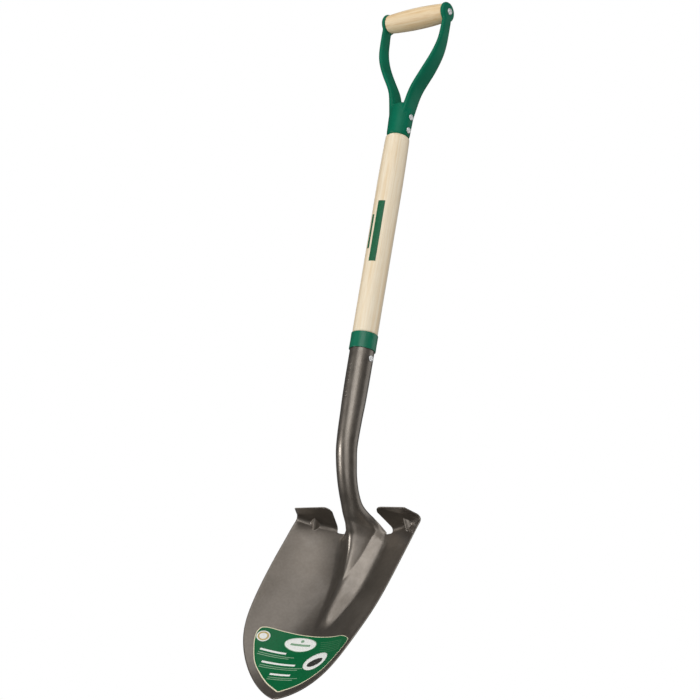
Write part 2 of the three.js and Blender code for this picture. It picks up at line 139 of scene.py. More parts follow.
class Sheet:
    """A middle surface made of quads, thickened both ways with a round edge."""

    def __init__(self):
        self.points = []
        self.quads = []

    def add(self, point):
        self.points.append(point)
        return len(self.points) - 1

    def row(self, points):
        return [self.add(p) for p in points]

    def strip(self, lower, upper):
        for j in range(len(lower) - 1):
            self.quads.append((lower[j], lower[j + 1], upper[j + 1], upper[j]))

    def normals(self):
        points = np.array(self.points)
        quads = np.array(self.quads)
        a, b, c, d = (points[quads[:, k]] for k in range(4))
        across = np.cross(c - a, d - b)
        total = np.zeros_like(points)
        for k in range(4):
            np.add.at(total, quads[:, k], across)
        return total / np.linalg.norm(total, axis=1)[:, None]

    def border(self):
        """The border's directed edges, in the direction of the quads that own them."""
        edges = {}
        for quad in self.quads:
            for a, b in zip(quad, quad[1:] + quad[:1]):
                if (b, a) in edges:
                    del edges[(b, a)]
                else:
                    edges[(a, b)] = True
        return list(edges)

    def thickened(self, thickness, edge_steps=3):
        points = np.array(self.points)
        normals = self.normals()
        half = thickness / 2
        count = len(points)
        vertices = [*(points + normals * half), *(points - normals * half)]
        faces = []
        for quad in self.quads:
            faces.append(quad)
            faces.append(tuple(count + k for k in reversed(quad)))
        border = self.border()
        outward = {}
        for a, b in border:
            away = np.cross(points[b] - points[a], normals[a])
            for k in (a, b):
                outward[k] = outward.get(k, 0) + away / (np.linalg.norm(away) + 1e-9)
        rim = {}
        for k, away in outward.items():
            away = away / (np.linalg.norm(away) + 1e-9)
            ring = [k]
            for step in range(1, edge_steps + 1):
                angle = math.pi * step / (edge_steps + 1)
                vertices.append(
                    points[k] + half * (math.cos(angle) * normals[k] + math.sin(angle) * away)
                )
                ring.append(len(vertices) - 1)
            rim[k] = [*ring, count + k]
        for a, b in border:
            for one, two in zip(range(edge_steps + 1), range(1, edge_steps + 2)):
                faces.append((rim[b][one], rim[a][one], rim[a][two], rim[b][two]))
        return vertices, faces

    def make(self, name, thickness, material, edge_steps=3):
        return mesh_object(name, *self.thickened(thickness, edge_steps), material)


def rounded(profile, radius, steps=4):
    """An open line of 2D points with its inner corners rounded."""
    out = [profile[0]]
    for before, corner, after in zip(profile, profile[1:], profile[2:]):
        p, c, n = Vector(before), Vector(corner), Vector(after)
        reach = min(radius, (p - c).length * 0.45, (n - c).length * 0.45)
        start = c + (p - c).normalized() * reach
        end = c + (n - c).normalized() * reach
        for k in range(steps + 1):
            t = k / steps
            out.append(tuple(start * (1 - t) ** 2 + c * 2 * t * (1 - t) + end * t * t))
    out.append(profile[-1])
    return out


def lathe_data(profile, sides, axis="Z", height=0.0):
    """Vertices and faces of a turned solid from (radius, position) points."""
    vertices, rings = [], []
    for radius, position in profile:
        if radius < 1e-6:
            ring = [len(vertices)] * sides
            vertices.append((0, 0, position))
        else:
            ring = list(range(len(vertices), len(vertices) + sides))
            for k in range(sides):
                angle = 2 * math.pi * k / sides
                vertices.append((radius * math.cos(angle), radius * math.sin(angle), position))
        rings.append(ring)
    faces = []
    for low, high in zip(rings, rings[1:]):
        for k in range(sides):
            m = (k + 1) % sides
            face = [low[k], low[m], high[m], high[k]]
            face = tuple(dict.fromkeys(face))
            if len(face) > 2:
                faces.append(face)
    if axis == "X":
        vertices = [(z, y, -x) for x, y, z in vertices]
    return [(x, y, z + height) for x, y, z in vertices], faces


def lathe(name, profile, sides, material, axis="Z", height=0.0):
    return mesh_object(name, *lathe_data(profile, sides, axis, height), material)


def settle(piece, body, slot, *nodes):
    """Puts a finished piece on its body and hides the CAD nodes it shows. The slot is not used."""
    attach(piece, body)
    if nodes:
        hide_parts(*nodes)


# ---- materials ------------------------------------------------------------------------


class Look:
    """A small helper round one Principled material and its nodes."""

    def __init__(self, name):
        self.material = bpy.data.materials.new(name)
        self.material.use_nodes = True
        self.tree = self.material.node_tree
        self.shader = self.tree.nodes["Principled BSDF"]
        self.place = self.add("ShaderNodeTexCoord").outputs["Object"]

    def add(self, kind, **values):
        node = self.tree.nodes.new(kind)
        for key, value in values.items():
            setattr(node, key, value)
        return node

    def link(self, out, into):
        self.tree.links.new(out, into)

    def set(self, **values):
        for key, value in values.items():
            self.shader.inputs[key.replace("_", " ")].default_value = value

    def noise(self, size, detail=3.0, stretch=(1, 1, 1), roughness=0.5, distortion=0.0):
        """Noise with features about `size` metres wide, stretched along the axes."""
        mapping = self.add("ShaderNodeMapping")
        mapping.inputs["Scale"].default_value = [1 / (size * s) for s in stretch]
        self.link(self.place, mapping.inputs["Vector"])
        node = self.add("ShaderNodeTexNoise")
        node.inputs["Scale"].default_value = 1
        node.inputs["Detail"].default_value = detail
        node.inputs["Roughness"].default_value = roughness
        node.inputs["Distortion"].default_value = distortion
        self.link(mapping.outputs["Vector"], node.inputs["Vector"])
        return node.outputs["Fac"]

    def ramp(self, source, *stops):
        """Colour or value by position: stops are (position, colour)."""
        node = self.add("ShaderNodeValToRGB")
        elements = node.color_ramp.elements
        while len(elements) < len(stops):
            elements.new(0.5)
        for element, (position, colour) in zip(elements, stops):
            element.position = position
            element.color = (*colour, 1) if len(colour) == 3 else (colour[0],) * 3 + (1,)
        self.link(source, node.inputs["Fac"])
        return node.outputs["Color"]

    def mix(self, factor, first, second):
        node = self.add("ShaderNodeMix", data_type="RGBA")
        for socket, value in ((0, factor), (6, first), (7, second)):
            if hasattr(value, "is_output"):
                self.link(value, node.inputs[socket])
            elif socket == 0:
                node.inputs[socket].default_value = value
            else:
                node.inputs[socket].default_value = (*value, 1)
        return node.outputs[2]

    def spread(self, source, low, high):
        """A 0.3 to 0.7 noise mapped to a range of values."""
        node = self.add("ShaderNodeMapRange")
        node.inputs["From Min"].default_value = 0.3
        node.inputs["From Max"].default_value = 0.7
        node.inputs["To Min"].default_value = low
        node.inputs["To Max"].default_value = high
        self.link(source, node.inputs["Value"])
        return node.outputs["Result"]

    def colour(self, source):
        self.link(source, self.shader.inputs["Base Color"])

    def roughness(self, source):
        self.link(source, self.shader.inputs["Roughness"])

    def bumps(self, *layers):
        """Bump layers as (height source, distance in metres, strength)."""
        normal = None
        for source, distance, strength in layers:
            node = self.add("ShaderNodeBump")
            node.inputs["Distance"].default_value = distance
            node.inputs["Strength"].default_value = strength
            self.link(source, node.inputs["Height"])
            if normal is not None:
                self.link(normal, node.inputs["Normal"])
            normal = node.outputs["Normal"]
        self.link(normal, self.shader.inputs["Normal"])


def steel_look():
    look = Look("lacquered_steel")
    look.set(Metallic=0.88, Coat_Weight=0.3, Coat_Roughness=0.1, Specular_IOR_Level=0.4)
    broad = look.noise(0.07, 4, roughness=0.6)
    mottle = look.noise(0.004, 3)
    streaks = look.noise(0.0012, 2, stretch=(1, 9, 22))
    base = look.ramp(broad, (0.32, (0.19, 0.164, 0.137)), (0.68, (0.228, 0.199, 0.169)))
    base = look.mix(0.08, base, look.ramp(mottle, (0.4, (0.12,)), (0.62, (0.3,))))
    scuffs = look.ramp(streaks, (0.68, (0.0,)), (0.78, (0.2,)))
    look.colour(look.mix(scuffs, base, (0.36, 0.33, 0.29)))
    look.roughness(look.spread(look.noise(0.012, 4), 0.33, 0.43))
    look.bumps((look.noise(0.03, 2), 0.0004, 0.3), (look.noise(0.0016, 3), 0.00004, 0.4))
    return look.material


def wood_look(name, along, pale, deep):
    """Ash with its grain running along one axis: 0 for X, 2 for Z."""
    look = Look(name)
    look.set(Coat_Weight=0.06, Coat_Roughness=0.3, Specular_IOR_Level=0.3)
    stretch = [1, 1, 1]
    stretch[along] = 60
    bands = look.noise(0.0055, 3, stretch=stretch, roughness=0.55, distortion=0.35)
    stretch[along] = 26
    fibres = look.noise(0.0009, 3, stretch=stretch)
    stretch[along] = 7
    pores = look.noise(0.00045, 2, stretch=stretch)
    stretch[along] = 4
    tone = look.noise(0.045, 3, stretch=stretch)
    between = tuple(lerp(a, b, 0.45) for a, b in zip(pale, deep))
    base = look.ramp(bands, (0.42, pale), (0.52, between), (0.6, deep))
    base = look.mix(look.spread(tone, 0.0, 0.35), base, tuple(0.93 * v for v in deep))
    base = look.mix(0.34, base, look.ramp(fibres, (0.36, deep), (0.6, pale)))
    flecks = look.ramp(pores, (0.66, (0.0,)), (0.74, (0.3,)))
    look.colour(look.mix(flecks, base, tuple(0.55 * v for v in deep)))
    look.roughness(look.spread(fibres, 0.4, 0.58))
    look.bumps((bands, 0.0002, 0.25), (fibres, 0.00012, 0.35))
    return look.material


def enamel_look():
    look = Look("green_enamel")
    look.set(Specular_IOR_Level=0.15)
    tone = look.noise(0.03, 3)
    base = look.ramp(tone, (0.35, (0.0003, 0.14, 0.074)), (0.65, (0.0006, 0.165, 0.09)))
    specks = look.ramp(look.noise(0.0011, 2), (0.7, (0.0,)), (0.78, (0.2,)))
    look.colour(look.mix(specks, base, (0.004, 0.19, 0.11)))
    look.roughness(look.spread(look.noise(0.008, 4), 0.38, 0.48))
    look.bumps((look.noise(0.008, 2), 0.0002, 0.15), (look.noise(0.0014, 2), 0.00002, 0.25))
    return look.material


def plastic_look():
    look = Look("green_plastic")
    look.set(Specular_IOR_Level=0.45)
    tone = look.noise(0.02, 3)
    look.colour(look.ramp(tone, (0.35, (0.001, 0.15, 0.08)), (0.65, (0.003, 0.178, 0.098))))
    look.roughness(look.spread(look.noise(0.004, 3), 0.3, 0.42))
    look.bumps((look.noise(0.0006, 3), 0.00003, 0.5), (look.noise(0.012, 2), 0.0002, 0.25))
    return look.material


def zinc_look():
    look = Look("rivet_zinc")
    look.set(Metallic=0.45, Specular_IOR_Level=0.6)
    tone = look.noise(0.003, 4)
    look.colour(look.ramp(tone, (0.3, (0.66, 0.67, 0.67)), (0.7, (0.88, 0.88, 0.88))))
    look.roughness(look.spread(look.noise(0.0012, 3), 0.24, 0.4))
    look.bumps((look.noise(0.0009, 3), 0.00004, 0.4))
    return look.material


def film_look(name, low, high, gloss=0.3):
    """Printed film or ink: a nearly even colour with faint print mottle."""
    look = Look(name)
    look.set(Coat_Weight=0.05, Coat_Roughness=0.2, Specular_IOR_Level=0.22)
    look.colour(look.ramp(look.noise(0.002, 4), (0.35, low), (0.65, high)))
    look.roughness(look.spread(look.noise(0.01, 3), gloss, gloss + 0.12))
    look.bumps((look.noise(0.015, 2), 0.0002, 0.2), (look.noise(0.0008, 2), 0.00002, 0.4))
    return look.material


FLOOR_GLOW = 0.5  # the floor is far below the lamps, so it is lit by its own soft glow


def floor_look():
    look = Look("pale_floor")
    look.colour(look.ramp(look.noise(0.4, 3), (0.3, (0.8, 0.8, 0.79)), (0.7, (0.84, 0.84, 0.83))))
    look.roughness(look.spread(look.noise(0.1, 3), 0.7, 0.85))
    look.set(Emission_Color=(1, 1, 1, 1), Emission_Strength=FLOOR_GLOW)
    return look.material


STEEL = steel_look()
SHAFT_WOOD = wood_look("shaft_ash", 2, (0.98, 0.87, 0.68), (0.86, 0.67, 0.43))
GRIP_WOOD = wood_look("grip_ash", 0, (1.0, 0.83, 0.57), (0.82, 0.57, 0.3))
ENAMEL = enamel_look()
PLASTIC = plastic_look()
ZINC = zinc_look()
FILM_GREEN = film_look("label_green", (0.0, 0.115, 0.035), (0.001, 0.135, 0.044))
FILM_CREAM = film_look("label_cream", (0.78, 0.72, 0.5), (0.86, 0.8, 0.6))
FILM_WHITE = film_look("label_white", (0.84, 0.84, 0.8), (0.92, 0.92, 0.89))
FILM_GREY = film_look("label_pale_green", (0.2, 0.36, 0.22), (0.28, 0.44, 0.3))
FILM_FAINT = film_look("label_faint_green", (0.03, 0.17, 0.07), (0.05, 0.2, 0.09))
FILM_DARK = film_look("label_dark", (0.02, 0.02, 0.02), (0.05, 0.05, 0.045))
FILM_GOLD = film_look("label_gold", (0.5, 0.36, 0.12), (0.64, 0.48, 0.2))
PRINT_GREEN = film_look("shaft_print", (0.01, 0.11, 0.045), (0.02, 0.15, 0.07), 0.42)


# ---- blade ----------------------------------------------------------------------------

# down the blade, from 0 at the fold to 1 at its point: how far behind its own plane the
# middle lies, how strongly the sheet is dished, how high the frog stands, and how far that
# rise leans, in degrees
centre_depth = softened(curve_through(
    [(0, 196), (0.12, 207), (0.3, 214.5), (0.5, 208.5), (0.75, 198.5), (1, 188.7)]))
dish_curve = softened(curve_through(
    [(0, 0.0025), (0.1, 0.0033), (0.3, 0.004), (0.5, 0.0036), (0.7, 0.0034), (1, 0.002)]))
frog_height = softened(curve_through(
    [(0, 47.7), (0.05, 41), (0.1, 35.5), (0.15, 28.5), (0.25, 20.5), (0.4, 13), (0.5, 7),
     (FROG_END, 0), (1, 0)]), 0.012)
frog_lean = softened(curve_through([(0, 19), (0.05, 10), (0.1, 0), (1, 0)]), 0.012)

# the neck's sections: the front ridge and the back as (y, z) below the collar's top, the
# radius, and how far each has opened from a closed tube to the frog's shape
NECK_SECTIONS = [
    (31.6, -270, 78.8, -277, 13.3, 1),
    (29.5, -267, 68, -264, 13.3, 0.72),
    (27.2, -263.5, 57, -253, 13.3, 0.4),
    (24.5, -259, 48, -245, 13.3, 0.14),
    (19.5, -250, 42.3, -236.2, 13.2, 0.03),
    (12.5, -239.4, 35.5, -226.6, 13.1, 0),
    (1.3, -217.6, 25.9, -207.6, 13.3, 0),
    (-7.1, -194.6, 19.9, -187.4, 14, 0),
    (-13.1, -171.2, 15.3, -166.8, 14.3, 0),
    (-15, -146, 15, -146, 15, 0),
    (-15.6, -122, 15.6, -122, 15.6, 0),
    (-16.5, -98, 16.5, -98, 16.5, 0),
    (-16.9, -60, 16.9, -60, 16.9, 0),
    (-17, -25, 17, -25, 17, 0),
    (-17, -2.5, 17, -2.5, 17, 0),
]
NECK_ROWS = 110
FROG_COLUMNS = 72
WING_STEP_STOP = 0.2  # the share of the wing between the frog and the notch's outer corner
NOTCH_OUTER_X = 51.5
NOTCH_DROP = 3.6  # how far the notch beside the neck is cut into the blade
STEP_ALONG = 207.0
STEP_INNER_FRONT = (41.5, 145.0)
STEP_OUTER_FRONT = (97.5, 139.0)
STEP_CORNER = 8.0
STEP_DROOP = 5.5
DART_X = 84.0
DART_HALF_WIDTH = 8.5
DART_REACH = 13.0
DART_MARGIN = 9.5  # how far to each side of the dart's middle the columns stand close
BEND_REACH = 8.0
FOLD_ZONE = 0.055  # the share of the blade's length below the fold that is meshed finely
TIP_ZONE = 0.09  # the share at the point whose rows draw closer together


def blade_point(x, along, depth):
    """A place from its distances across, down and behind the tilted blade's own plane."""
    y = -along * math.sin(BLADE_TILT) + depth * math.cos(BLADE_TILT)
    z = -along * math.cos(BLADE_TILT) - depth * math.sin(BLADE_TILT)
    return (x, y, z + COLLAR_TOP_Z)


def half_width(t):
    """The blade's half width, at t from 0 at the fold to 1 at the point."""
    return BLADE_HALF_WIDTH * (1 - t**4.5) ** 0.75


def frog_half_width(t):
    frog = FROG_HALF_WIDTH * max(0, 1 - t / FROG_END) ** 0.7
    return math.hypot(frog, 0.09 * half_width(t))


def bell(q):
    """A smooth hump from 0 at -1, over 1 in the middle, to 0 at 1."""
    return (1 + math.cos(math.pi * q)) / 2 if abs(q) < 1 else 0


FROG_TOP_REACH = 1.06  # how far past its nominal width the frog runs out at its top
FROG_REACH = 1.32  # and further down
FACET_END = 0.29  # where the two flat facets beside the crest meet
CREST_TIP_WIDTH = 0.06  # the crest's half width where the facets have met
CREST_TOP_WIDTH = 0.6  # and how much wider than that it is at the top
LIP_HEIGHT = 0.02  # the faint pressed lip beside the crest
LIP_WIDTH = 0.18
CREST_ROUND = 0.45  # the share of the crest's half width that is round; the rest is flat
shoulder_height = curve_through(
    [(0, 0.27), (0.08, 0.4), (0.16, 0.6), (0.24, 0.86), (0.31, 1), (1, 1)])


def crest_shape(z):
    """A round top that runs straight into flat flanks, from 1 at 0 to 0 at 1."""
    slope = 1 / (2 * CREST_ROUND - CREST_ROUND**2)
    if z < CREST_ROUND:
        return 1 - slope * z * z
    return max(0, 2 * slope * CREST_ROUND * (1 - z))


def frog_section(q, t):
    """Height of the frog's section, 0 to 1: a crest between two flat facets on a broad
    ridge, which is all that is left once the facets have met."""
    q = abs(q)
    reach = lerp(FROG_TOP_REACH, FROG_REACH, smooth(0, 0.06, t))
    broad = 1 - smooth(lerp(0.5, 0, smooth(0, FACET_END, t)), reach, q)
    crest_width = CREST_TIP_WIDTH + CREST_TOP_WIDTH * max(0, 1 - (t / FACET_END) ** 1.7)
    crest = crest_shape(q / crest_width)
    shoulder = shoulder_height(t)
    lip = LIP_HEIGHT * (1 - smooth(0.18, FACET_END, t)) * bell((q - crest_width) / LIP_WIDTH)
    return shoulder * broad + (1 - shoulder) * crest + lip


def dish_depth(x, t):
    return centre_depth(t) - dish_curve(t) * x * x


def surface(x, t, lift=0.0):
    """A point on the blade's digging side away from the frog, lifted off its middle."""
    return blade_point(x, BLADE_TOP + t * BLADE_LENGTH, dish_depth(x, t) - lift)


def raised(x, t, lift=0.0):
    """The same with the frog's height added where the frog reaches."""
    point = surface(x, t, lift)
    lean = BLADE_TILT - math.radians(frog_lean(t))
    rise = frog_height(t) * frog_section(x / frog_half_width(t), t)
    return (x, point[1] - rise * math.cos(lean), point[2] + rise * math.sin(lean))


def wing_x(stop, t):
    """A column across the wing: stop is 0 beside the frog and 1 at the blade's edge."""
    return lerp(frog_half_width(t), half_width(t), stop)


def step_front(stop):
    """The step's front edge at one wing column, as (x, depth)."""
    x = wing_x(stop, 0)
    across = (x - NOTCH_OUTER_X) / (half_width(0) - NOTCH_OUTER_X)
    front_x = lerp(STEP_INNER_FRONT[0], STEP_OUTER_FRONT[0], across)
    front = lerp(STEP_INNER_FRONT[1], STEP_OUTER_FRONT[1], across)
    inset = min(1, max(0, 1 - (front_x - STEP_INNER_FRONT[0]) / STEP_CORNER))
    return front_x, front + STEP_CORNER * (1 - math.sqrt(1 - inset * inset)), across


def plain_fold_point(stop, s):
    """A point (x, along, depth) of the sharp fold: s is below 0 on the blade, above 0 on
    the step, counted from the corner in millimetres."""
    if s < 0:
        t = max(0, (STEP_ALONG - s - BLADE_TOP) / BLADE_LENGTH)
        x = wing_x(stop, t)
        return np.array((x, STEP_ALONG - s, dish_depth(x, t)))
    x = wing_x(stop, 0)
    depth = dish_depth(x, 0)
    front_x, front, across = step_front(stop)
    forward = s / (depth - front)
    droop = STEP_DROOP * max(0, forward + across - 1.2) / 0.8
    return np.array((lerp(x, front_x, forward), STEP_ALONG + droop, depth - s))


def step_length(stop):
    """How far the step reaches forward of the fold."""
    return dish_depth(wing_x(stop, 0), 0) - step_front(stop)[1]


def fold_point(stop, s):
    """The fold with its rounded bend, which dies away in the notch beside the neck."""
    reach = BEND_REACH * smooth(0.55, 1, stop / WING_STEP_STOP) + 0.1
    if abs(s) >= reach:
        return plain_fold_point(stop, s)
    u = (s + reach) / (2 * reach)
    low, corner, high = (plain_fold_point(stop, v) for v in (-reach, 0, reach))
    return low * (1 - u) ** 2 + corner * 2 * u * (1 - u) + high * u * u


def pressed_point(side, stop, s):
    """The fold with the pressed dart that stiffens it."""
    point = fold_point(stop, s)
    off = abs(wing_x(stop, 0) - DART_X) / DART_HALF_WIDTH
    reach = DART_REACH * max(0, 1 - off**1.25)
    if abs(s) < reach:
        low, high = fold_point(stop, -reach), fold_point(stop, reach)
        point = low + (high - low) * (s + reach) / (2 * reach)
    return blade_point(side * point[0], point[1], point[2])


def spaced(low, high, count):
    return [lerp(low, high, k / count) for k in range(count + 1)]


def wing_stops():
    """Columns from the frog to the edge, closer together at the dart."""
    inner, outer = frog_half_width(0), half_width(0)
    offsets = spaced(-DART_MARGIN, DART_MARGIN, 26)
    dart = [(DART_X + d - inner) / (outer - inner) for d in offsets]
    stops = spaced(0.01, WING_STEP_STOP, 14) + spaced(WING_STEP_STOP, dart[0], 12)[1:-1]
    return stops + dart + spaced(dart[-1], 1, 10)[1:]


def blade_rows():
    """Rows from the fold to just short of the point, close together at both."""
    fine = spaced(0, FOLD_ZONE, 20)
    tip = [1 - (1 - k) ** 1.6 * TIP_ZONE for k in spaced(0, 0.985, 16)]
    return fine + spaced(FOLD_ZONE, tip[0], 84)[1:-1] + tip


def wing_point(side, stop, t):
    """A point on the wing, with the notch beside the neck cut into its top."""
    if stop < WING_STEP_STOP:
        u = 2 * stop / WING_STEP_STOP - 1
        drop = NOTCH_DROP * math.sqrt(max(0, 1 - abs(u) ** 5)) / BLADE_LENGTH
        t += drop * max(0, 1 - t / FOLD_ZONE)
    if t < FOLD_ZONE:
        x, y, z = pressed_point(side, stop, STEP_ALONG - BLADE_TOP - t * BLADE_LENGTH)
        base = surface(side * wing_x(stop, t), t)
        rise = raised(side * wing_x(stop, t), t)
        return (x, y + rise[1] - base[1], z + rise[2] - base[2])
    return raised(side * wing_x(stop, t), t)


def neck_rows():
    """The neck's sections resampled finely and eased, from the blade to the socket's top."""
    sections = np.array(NECK_SECTIONS, float)
    middle = (sections[:, 0:2] + sections[:, 2:4]) / 2
    gaps = np.linalg.norm(np.diff(middle, axis=0), axis=1)
    travelled = np.concatenate([[0], np.cumsum(gaps)])
    curves = [curve_through(list(zip(travelled, sections[:, k]))) for k in range(6)]
    rows = np.array([[c(u) for c in curves] for u in spaced(0, travelled[-1], NECK_ROWS)])
    for _ in range(10):
        rows[1:-1] = (rows[:-2] + 2 * rows[1:-1] + rows[2:]) / 4
    return rows


def neck_point(section, q):
    front_y, front_z, back_y, back_z, radius, opened = section
    angle = math.pi * q * (1 - SOCKET_SEAM * (1 - opened))
    x = lerp(radius * math.sin(angle), frog_half_width(0) * q, opened)
    h = lerp((1 + math.cos(angle)) / 2, frog_section(q, 0), opened)
    dish = dish_curve(0) * x * x * opened
    y = lerp(back_y, front_y, h) - dish * math.cos(BLADE_TILT)
    z = lerp(back_z, front_z, h) + dish * math.sin(BLADE_TILT)
    return (x, y, z + COLLAR_TOP_Z)


def add_steps(sheet, top, stops, frog_first):
    """The two foot steps, joined to the wing columns of the blade's top row."""
    first = stops.index(WING_STEP_STOP)
    outer = stops[first:]
    count = len(stops)
    right = top[frog_first + FROG_COLUMNS + 1 + first:]
    left = list(reversed(top[: count - first]))
    for side, start in ((1, right), (-1, left)):
        edge = start
        for f in spaced(0, 1, 42)[1:]:
            row = []
            for stop in outer:
                s = lerp(STEP_ALONG - BLADE_TOP, step_length(stop), f)
                row.append(sheet.add(pressed_point(side, stop, s)))
            if side > 0:
                sheet.strip(edge, row)
            else:
                sheet.strip(row, edge)
            edge = row


def make_blade():
    sheet = Sheet()
    stops = wing_stops()
    qs = [2 * j / FROG_COLUMNS - 1 for j in range(FROG_COLUMNS + 1)]
    rows = []
    for t in blade_rows():
        left = [wing_point(-1, s, t) for s in reversed(stops)]
        frog = [raised(frog_half_width(t) * q, t) for q in qs]
        right = [wing_point(1, s, t) for s in stops]
        rows.append(sheet.row(left + frog + right))
    for upper, lower in zip(rows, rows[1:]):
        sheet.strip(lower, upper)
    edge = rows[0][len(stops): len(stops) + FROG_COLUMNS + 1]
    for section in neck_rows()[1:]:
        row = sheet.row([neck_point(section, q) for q in qs])
        sheet.strip(edge, row)
        edge = row
    add_steps(sheet, rows[0], stops, len(stops))
    settle(sheet.make("steel_blade", SHEET, STEEL), "shovel", "blade_steel", "blade")


make_blade()


# ---- label and other prints -----------------------------------------------------------

# heights on the blade are shares of its length, and widths and lifts are millimetres
LABEL_TOP = 0.617
LABEL_POINT = 0.962
LABEL_LIFT = SHEET / 2 + 0.25
LABEL_FILM = 0.14
LABEL_BOW = 0.009  # the top edge is bowed up in the middle
LABEL_SKEW = 0.00006  # and the label sits a little askew
LABEL_CORNER = 0.042  # its right corner is cut lower
label_half_width = curve_through(
    [(LABEL_TOP, 68), (0.6185, 73), (0.622, 76.5), (0.63, 80), (0.642, 81.5), (0.66, 82),
     (0.7, 79.5), (0.75, 73.5), (0.82, 62), (0.873, 46), (0.92, 27), (LABEL_POINT, 2)])


def label_patch(name, rows, lift, material):
    """A thin film on the blade from rows of (x, t) points."""
    sheet = Sheet()
    before = None
    for row in rows:
        ids = sheet.row([surface(x, t, lift) for x, t in row])
        if before:
            sheet.strip(ids, before)
        before = ids
    return sheet.make(name, LABEL_FILM * 0.8, material, 1)


def label_spot(x, t):
    """A place on the label, with the label's bow and skew."""
    down = max(0, (LABEL_POINT - t) / (LABEL_POINT - LABEL_TOP)) ** 3
    bow = LABEL_BOW * (1 - min(1, abs(x) / 75) ** 2) * down
    corner = LABEL_CORNER * smooth(48, 86, x) * down
    return (x, t - bow + LABEL_SKEW * x * down + corner)


def label_outline_rows(inset):
    """Rows of the label's outline, shrunk by an inset in millimetres."""
    shrink = inset / BLADE_LENGTH
    rows = []
    for step in spaced(0, 1, 50):
        place = step**1.5  # closer together at the top, where the outline turns
        t = lerp(LABEL_TOP, LABEL_POINT, place)
        half = max(0.6, label_half_width(t) - inset)
        shown = lerp(LABEL_TOP + shrink, LABEL_POINT - shrink * 1.2, place)
        rows.append([label_spot(half * u, shown) for u in spaced(-1, 1, 48)])
    return rows


def ellipse_rows(x, t, half_x, half_y, tilt=0.0):
    """Concentric rings from the outline to a tiny one in the middle, as rows."""
    rows = []
    c, s = math.cos(tilt), math.sin(tilt)
    for k in range(7):
        r = 1 - k / 6.2
        ring = []
        for j in range(49):
            a = 2 * math.pi * j / 48
            u, v = half_x * r * math.cos(a), half_y * r * math.sin(a)
            ring.append((x + u * c - v * s, t + (u * s + v * c) / BLADE_LENGTH))
        rows.append(ring)
    return rows


def bar_rows(x0, x1, t0, t1, height):
    """A straight bar from (x0, t0) to (x1, t1)."""
    half = height / 2 / BLADE_LENGTH
    line = [(lerp(x0, x1, u), lerp(t0, t1, u)) for u in spaced(0, 1, 14)]
    return [[(x, t + v) for x, t in line] for v in spaced(-half, half, 3)]


def label_prints():
    """Plain generic shapes in the places of the printed marks: (name, rows, look, layer).
    Places are millimetres across the blade and shares of its length."""
    prints = [("label_field", label_outline_rows(1.2), FILM_GREEN, 1)]
    prints.append(("label_seal", ellipse_rows(-71, 0.671, 8.6, 9.4), FILM_WHITE, 2))
    prints.append(("label_seal_ring", ellipse_rows(-71, 0.671, 7, 7.7), FILM_GOLD, 3))
    prints.append(("label_seal_core", ellipse_rows(-71, 0.671, 4.8, 5.3), FILM_WHITE, 4))
    prints.append(("label_oval_rim", ellipse_rows(-14, 0.669, 26, 13.4), FILM_GREY, 2))
    prints.append(("label_oval", ellipse_rows(-14, 0.669, 25, 12.4), FILM_WHITE, 3))
    prints.append(("label_oval_bar", bar_rows(-30, 2, 0.674, 0.67, 3.6), FILM_GREY, 4))
    prints.append(("label_oval_dot", ellipse_rows(-15, 0.647, 2.6, 2.6), FILM_GREY, 4))
    prints.append(("label_panel", ellipse_rows(31.5, 0.772, 20, 15.5, -0.3), FILM_WHITE, 2))
    prints.append(("label_panel_shape", ellipse_rows(32, 0.779, 13, 6.8, -0.35), FILM_DARK, 3))
    headings = [(-65, -27, 0.742, 0.735), (-53, -1, 0.806, 0.797), (-31, 2, 0.864, 0.859)]
    for k, (x0, x1, t0, t1) in enumerate(headings):
        prints.append((f"label_heading_{k}", bar_rows(x0, x1, t0, t1, 3.2), FILM_WHITE, 2))
        for n in range(2):
            drop = 0.019 + 0.011 * n
            far = x1 + 16 - 7 * n
            rows = bar_rows(x0, far, t0 + drop, t1 + drop - 0.002, 1.1)
            prints.append((f"label_line_{k}_{n}", rows, FILM_GREY, 2))
    for n in range(6):
        t = 0.648 + 0.0135 * n
        rows = bar_rows(17 + 2.2 * n, 62 + 1.4 * n, t, t + 0.004, 1.3)
        prints.append((f"label_note_{n}", rows, FILM_FAINT, 2))
    return prints


def make_label():
    base = label_patch("label_border", label_outline_rows(0), LABEL_LIFT, FILM_CREAM)
    settle(base, "shovel", "label_film", "blade_label")
    for name, rows, look, layer in label_prints():
        piece = label_patch(name, rows, LABEL_LIFT + LABEL_FILM * layer, look)
        settle(piece, "shovel", "label_film")


make_label()


def wrapped_bar(name, low, high, start, end, radius, thickness, material):
    """A thin bar wrapped on the shaft or socket between two heights and two turns from the
    front, in degrees."""
    sheet = Sheet()
    before = None
    for z in spaced(low, high, max(3, int(abs(high - low) / 4))):
        row = []
        for turn in spaced(math.radians(start), math.radians(end), 10):
            r = radius(z)
            row.append(sheet.add((r * math.sin(turn), -r * math.cos(turn), z)))
        if before:
            sheet.strip(before, row)
        before = row
    return sheet.make(name, thickness, material, 3)


PRINT_LIFT = 0.12  # how far the middle of a print or tick is off the surface under it
TICK_COUNT = 9
TICK_PITCH = 6


def over_shaft(z):
    share = (z - COLLAR_TOP_Z) / (SHAFT_TAPER_Z - COLLAR_TOP_Z)
    return lerp(SHAFT_BOTTOM_RADIUS, SHAFT_RADIUS, share) + PRINT_LIFT


def over_socket(z):
    return 17.9 - 0.4 * (COLLAR_TOP_Z - z - 25) / 75 + PRINT_LIFT


def make_shaft_print():
    """Two plain bars in the place of the printed words."""
    bars = [("shaft_print_main", -393, -297, -2, 31), ("shaft_print_second", -372, -318, -28, -14)]
    for name, low, high, start, end in bars:
        bar = wrapped_bar(name, low, high, start, end, over_shaft, 0.1, PRINT_GREEN)
        settle(bar, "shovel", "green_paint")


